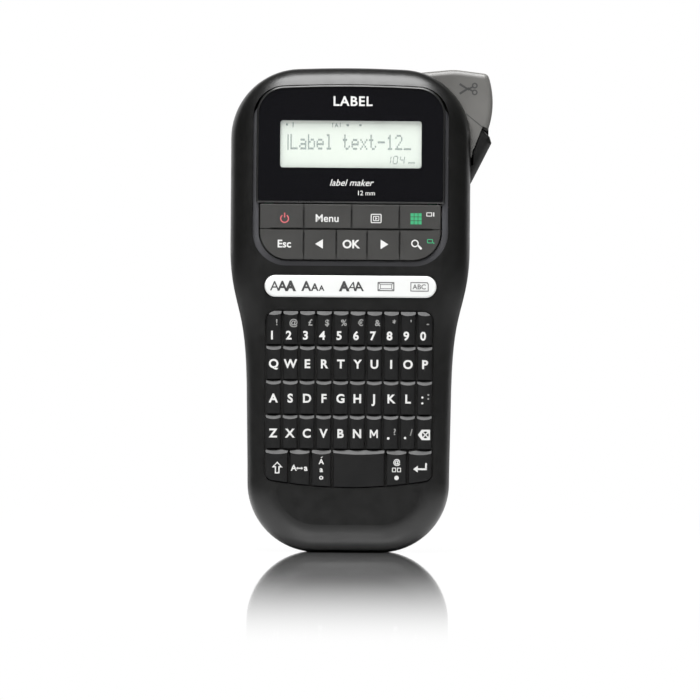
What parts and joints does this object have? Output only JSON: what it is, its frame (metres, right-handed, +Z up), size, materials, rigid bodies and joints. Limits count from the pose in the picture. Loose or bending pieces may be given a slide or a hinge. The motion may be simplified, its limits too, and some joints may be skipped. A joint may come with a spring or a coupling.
{
  "type": "label maker",
  "caption": "Handheld label maker standing on end: keyboard, display, side cutter lever, and a lift-off back cover over a tape cassette and round cells.",
  "frame": {"origin": "centre of the flat that the case stands on, on the case's middle plane", "axes": "+Z up along the case towards the head, +Y towards the back cover, so the keys face -Y, and +X to the right as seen from the keys, towards the cutter lever"},
  "size_m": [0.1118, 0.0588, 0.207],
  "materials": {
    "shell_black": "satin",
    "trim_grey": "satin",
    "panel_gloss": "gloss",
    "window_clear": "gloss",
    "lcd_glass": "satin",
    "plated_steel": "satin",
    "inner_plastic": "matte",
    "keypad_rubber": "matte",
    "key_black": "matte",
    "strip_white": "satin",
    "board_green": "satin",
    "chip_black": "matte",
    "motor_can": "satin",
    "ground_steel": "satin",
    "gear_white": "satin",
    "platen_rubber": "matte",
    "head_ceramic": "satin",
    "head_aluminium": "satin",
    "lever_grey": "satin",
    "cassette_grey": "satin",
    "tape_white": "satin",
    "cell_sleeve": "satin"
  },
  "bodies": {
    "case": {"front_shell": "shell_black", "rear_shell": "shell_black", "display_trim": "trim_grey", "display_panel": "panel_gloss", "display_window": "window_clear", "panel_carrier": "inner_plastic", "lcd_cell": "lcd_glass", "lcd_frame": "plated_steel", "keypad_sheet": "keypad_rubber", "main_board": "board_green", "board_parts": "chip_black", "chassis": "inner_plastic", "motor": "motor_can", "thermal_head": "head_ceramic", "head_bracket": "head_aluminium", "anvil": "ground_steel", "lever_pin": "ground_steel", "lever_spring": "plated_steel", "battery_tray": "inner_plastic", "battery_cells": "cell_sleeve", "battery_contacts": "plated_steel", "dc_jack": "chip_black", "case_screws": "plated_steel"},
    "cover": {"back_cover": "shell_black"},
    "latch": {"cover_latch": "shell_black"},
    "lever": {"cutter_lever": "lever_grey", "cutter_blade": "ground_steel"},
    "platen": {"platen_shaft": "ground_steel", "platen_gear": "gear_white", "platen_roller": "platen_rubber"},
    "idler_2": {"idler_gear_2": "gear_white"},
    "idler_1": {"idler_gear_1": "gear_white"},
    "rotor": {"motor_pinion": "ground_steel"},
    "ribbon_spindle": {"ribbon_drive": "gear_white"},
    "cassette": {"cassette_base": "cassette_grey", "cassette_lid": "cassette_grey", "label_tape": "tape_white"},
    "roll": {"tape_roll": "tape_white"},
    "supply": {"ribbon_supply": "inner_plastic"},
    "takeup": {"ribbon_takeup": "inner_plastic"},
    "strip": {"shortcut_strip": "strip_white"},
    "power_key_cap": {"power_key": "keypad_rubber"},
    "menu_key_cap": {"menu_key": "keypad_rubber"},
    "preview_key_cap": {"preview_key": "keypad_rubber"},
    "database_key_cap": {"database_key": "keypad_rubber"},
    "esc_key_cap": {"esc_key": "keypad_rubber"},
    "left_key_cap": {"left_key": "keypad_rubber"},
    "ok_key_cap": {"ok_key": "keypad_rubber"},
    "right_key_cap": {"right_key": "keypad_rubber"},
    "zoom_key_cap": {"zoom_key": "keypad_rubber"},
    "key_row_1_cap": {"key_row_1": "key_black"},
    "key_row_2_cap": {"key_row_2": "key_black"},
    "key_row_3_cap": {"key_row_3": "key_black"},
    "key_row_4_cap": {"key_row_4": "key_black"},
    "shift_key_cap": {"shift_key": "key_black"},
    "case_key_cap": {"case_key": "key_black"},
    "accent_key_cap": {"accent_key": "key_black"},
    "space_key_cap": {"space_key": "key_black"},
    "symbol_key_cap": {"symbol_key": "key_black"},
    "enter_key_cap": {"enter_key": "key_black"}
  },
  "joints": [
    {"name": "cover_lift", "type": "slide", "parent": "case", "child": "cover", "axis": [0, 1, 0], "range_m": [0, 0.08]},
    {"name": "latch_press", "type": "slide", "parent": "cover", "child": "latch", "axis": [0, 0, -1], "range_m": [0, 0.002], "stiffness_N_per_m": 300},
    {"name": "cassette_lift", "type": "slide", "parent": "case", "child": "cassette", "axis": [0, 1, 0], "range_m": [0, 0.03]},
    {"name": "cutter_press", "type": "hinge", "parent": "case", "child": "lever", "pos_m": [0.046, 0, 0.171], "axis": [0, -1, 0], "range_deg": [0, 10], "stiffness_Nm_per_rad": 0.6},
    {"name": "platen_spin", "type": "hinge", "parent": "case", "child": "platen", "pos_m": [0.0076, 0, 0.178], "axis": [0, 1, 0], "continuous": true},
    {"name": "idler_2_spin", "type": "hinge", "parent": "case", "child": "idler_2", "pos_m": [0.01257, 0, 0.15945], "axis": [0, 1, 0], "continuous": true},
    {"name": "idler_1_spin", "type": "hinge", "parent": "case", "child": "idler_1", "pos_m": [0.02896, 0, 0.14192], "axis": [0, 1, 0], "continuous": true},
    {"name": "motor_spin", "type": "hinge", "parent": "case", "child": "rotor", "pos_m": [0.036, 0, 0.128], "axis": [0, 1, 0], "continuous": true},
    {"name": "ribbon_drive_spin", "type": "hinge", "parent": "case", "child": "ribbon_spindle", "pos_m": [-0.00101, 0, 0.14588], "axis": [0, 1, 0], "continuous": true},
    {"name": "tape_roll_spin", "type": "hinge", "parent": "cassette", "child": "roll", "pos_m": [-0.018, 0, 0.1312], "axis": [0, 1, 0], "continuous": true},
    {"name": "ribbon_supply_spin", "type": "hinge", "parent": "cassette", "child": "supply", "pos_m": [0.003, 0, 0.1275], "axis": [0, 1, 0], "continuous": true},
    {"name": "ribbon_takeup_spin", "type": "hinge", "parent": "cassette", "child": "takeup", "pos_m": [-0.00101, 0, 0.14588], "axis": [0, 1, 0], "continuous": true},
    {"name": "strip_press", "type": "slide", "parent": "case", "child": "strip", "axis": [0, 1, 0], "range_m": [0, 0.0005], "stiffness_N_per_m": 900},
    {"name": "power_key_press", "type": "slide", "parent": "case", "child": "power_key_cap", "axis": [0, 1, 0], "range_m": [0, 0.0005], "stiffness_N_per_m": 600},
    {"name": "menu_key_press", "type": "slide", "parent": "case", "child": "menu_key_cap", "axis": [0, 1, 0], "range_m": [0, 0.0005], "stiffness_N_per_m": 600},
    {"name": "preview_key_press", "type": "slide", "parent": "case", "child": "preview_key_cap", "axis": [0, 1, 0], "range_m": [0, 0.0005], "stiffness_N_per_m": 600},
    {"name": "database_key_press", "type": "slide", "parent": "case", "child": "database_key_cap", "axis": [0, 1, 0], "range_m": [0, 0.0005], "stiffness_N_per_m": 600},
    {"name": "esc_key_press", "type": "slide", "parent": "case", "child": "esc_key_cap", "axis": [0, 1, 0], "range_m": [0, 0.0005], "stiffness_N_per_m": 600},
    {"name": "left_key_press", "type": "slide", "parent": "case", "child": "left_key_cap", "axis": [0, 1, 0], "range_m": [0, 0.0005], "stiffness_N_per_m": 600},
    {"name": "ok_key_press", "type": "slide", "parent": "case", "child": "ok_key_cap", "axis": [0, 1, 0], "range_m": [0, 0.0005], "stiffness_N_per_m": 600},
    {"name": "right_key_press", "type": "slide", "parent": "case", "child": "right_key_cap", "axis": [0, 1, 0], "range_m": [0, 0.0005], "stiffness_N_per_m": 600},
    {"name": "zoom_key_press", "type": "slide", "parent": "case", "child": "zoom_key_cap", "axis": [0, 1, 0], "range_m": [0, 0.0005], "stiffness_N_per_m": 600},
    {"name": "key_row_1_press", "type": "slide", "parent": "case", "child": "key_row_1_cap", "axis": [0, 1, 0], "range_m": [0, 0.001], "stiffness_N_per_m": 500},
    {"name": "key_row_2_press", "type": "slide", "parent": "case", "child": "key_row_2_cap", "axis": [0, 1, 0], "range_m": [0, 0.001], "stiffness_N_per_m": 500},
    {"name": "key_row_3_press", "type": "slide", "parent": "case", "child": "key_row_3_cap", "axis": [0, 1, 0], "range_m": [0, 0.001], "stiffness_N_per_m": 500},
    {"name": "key_row_4_press", "type": "slide", "parent": "case", "child": "key_row_4_cap", "axis": [0, 1, 0], "range_m": [0, 0.001], "stiffness_N_per_m": 500},
    {"name": "shift_key_press", "type": "slide", "parent": "case", "child": "shift_key_cap", "axis": [0, 1, 0], "range_m": [0, 0.001], "stiffness_N_per_m": 500},
    {"name": "case_key_press", "type": "slide", "parent": "case", "child": "case_key_cap", "axis": [0, 1, 0], "range_m": [0, 0.001], "stiffness_N_per_m": 500},
    {"name": "accent_key_press", "type": "slide", "parent": "case", "child": "accent_key_cap", "axis": [0, 1, 0], "range_m": [0, 0.001], "stiffness_N_per_m": 500},
    {"name": "space_key_press", "type": "slide", "parent": "case", "child": "space_key_cap", "axis": [0, 1, 0], "range_m": [0, 0.001], "stiffness_N_per_m": 500},
    {"name": "symbol_key_press", "type": "slide", "parent": "case", "child": "symbol_key_cap", "axis": [0, 1, 0], "range_m": [0, 0.001], "stiffness_N_per_m": 500},
    {"name": "enter_key_press", "type": "slide", "parent": "case", "child": "enter_key_cap", "axis": [0, 1, 0], "range_m": [0, 0.001], "stiffness_N_per_m": 500}
  ],
  "couplings": [
    {"joint": "cassette_lift", "follows": "cover_lift", "ratio": 0.375},
    {"joint": "idler_2_spin", "follows": "platen_spin", "ratio": -0.6},
    {"joint": "idler_1_spin", "follows": "platen_spin", "ratio": 0.6},
    {"joint": "motor_spin", "follows": "platen_spin", "ratio": -2},
    {"joint": "ribbon_drive_spin", "follows": "platen_spin", "ratio": 1},
    {"joint": "ribbon_takeup_spin", "follows": "platen_spin", "ratio": 1},
    {"joint": "ribbon_supply_spin", "follows": "platen_spin", "ratio": 1},
    {"joint": "tape_roll_spin", "follows": "platen_spin", "ratio": 0.26667}
  ]
}
